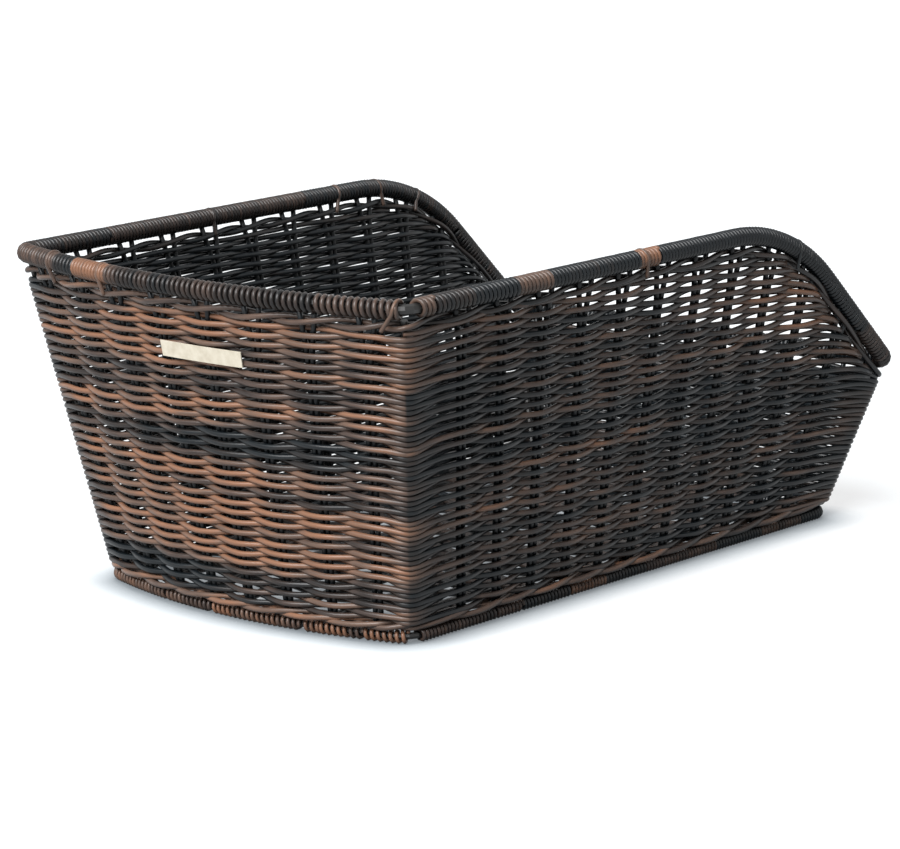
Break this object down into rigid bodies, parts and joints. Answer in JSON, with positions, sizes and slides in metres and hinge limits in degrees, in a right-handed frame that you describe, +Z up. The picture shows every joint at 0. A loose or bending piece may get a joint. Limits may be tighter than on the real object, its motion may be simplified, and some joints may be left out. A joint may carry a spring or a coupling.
{
  "type": "rear bicycle basket",
  "caption": "Open woven basket on a wound steel rod frame, tall at one end and lowered at the other, for a rear bicycle rack.",
  "frame": {"origin": "on the flat underside, under the middle of the basket's bounding box", "axes": "+X along the basket from the tall end to the lowered end, +Y to the left side, +Z up"},
  "size_m": [0.4738, 0.3158, 0.2048],
  "materials": {
    "painted_steel": "black enamel on steel rod",
    "woven_strand": "satin round polyethylene strand, brown and blue-black mixed",
    "stake_strand": "satin round polyethylene strand, dark brown",
    "winding_strand": "satin round polyethylene strand wound tightly, black with brown stretches",
    "plate": "cream, bare"
  },
  "bodies": {
    "root": {"base_cross_rod_1": "painted_steel", "base_cross_rod_2": "painted_steel", "base_grid": "stake_strand", "base_ring_rod": "painted_steel", "base_winding_left": "winding_strand", "base_winding_low_end": "winding_strand", "base_winding_right": "winding_strand", "base_winding_tall_end": "winding_strand", "corner_post_low_left": "painted_steel", "corner_post_low_right": "painted_steel", "corner_post_tall_left": "painted_steel", "corner_post_tall_right": "painted_steel", "label_plate": "plate", "left_stake_pair_01": "stake_strand", "left_stake_pair_02": "stake_strand", "left_stake_pair_03": "stake_strand", "left_stake_pair_04": "stake_strand", "left_stake_pair_05": "stake_strand", "left_stake_pair_06": "stake_strand", "left_stake_pair_07": "stake_strand", "left_stake_pair_08": "stake_strand", "left_stake_pair_09": "stake_strand", "left_stake_pair_10": "stake_strand", "left_stake_pair_11": "stake_strand", "low_end_stake_pair_01": "stake_strand", "low_end_stake_pair_02": "stake_strand", "low_end_stake_pair_03": "stake_strand", "low_end_stake_pair_04": "stake_strand", "low_end_stake_pair_05": "stake_strand", "low_end_stake_pair_06": "stake_strand", "low_end_stake_pair_07": "stake_strand", "right_stake_pair_01": "stake_strand", "right_stake_pair_02": "stake_strand", "right_stake_pair_03": "stake_strand", "right_stake_pair_04": "stake_strand", "right_stake_pair_05": "stake_strand", "right_stake_pair_06": "stake_strand", "right_stake_pair_07": "stake_strand", "right_stake_pair_08": "stake_strand", "right_stake_pair_09": "stake_strand", "right_stake_pair_10": "stake_strand", "right_stake_pair_11": "stake_strand", "rim_rod": "painted_steel", "rim_winding_left": "winding_strand", "rim_winding_low_end": "winding_strand", "rim_winding_right": "winding_strand", "rim_winding_tall_end": "winding_strand", "tall_end_stake_pair_01": "stake_strand", "tall_end_stake_pair_02": "stake_strand", "tall_end_stake_pair_03": "stake_strand", "tall_end_stake_pair_04": "stake_strand", "tall_end_stake_pair_05": "stake_strand", "tall_end_stake_pair_06": "stake_strand", "tall_end_stake_pair_07": "stake_strand", "tall_end_stake_pair_08": "stake_strand", "woven_wall_left": "woven_strand", "woven_wall_low_end": "woven_strand", "woven_wall_right": "woven_strand", "woven_wall_tall_end": "woven_strand"}
  },
  "joints": []
}
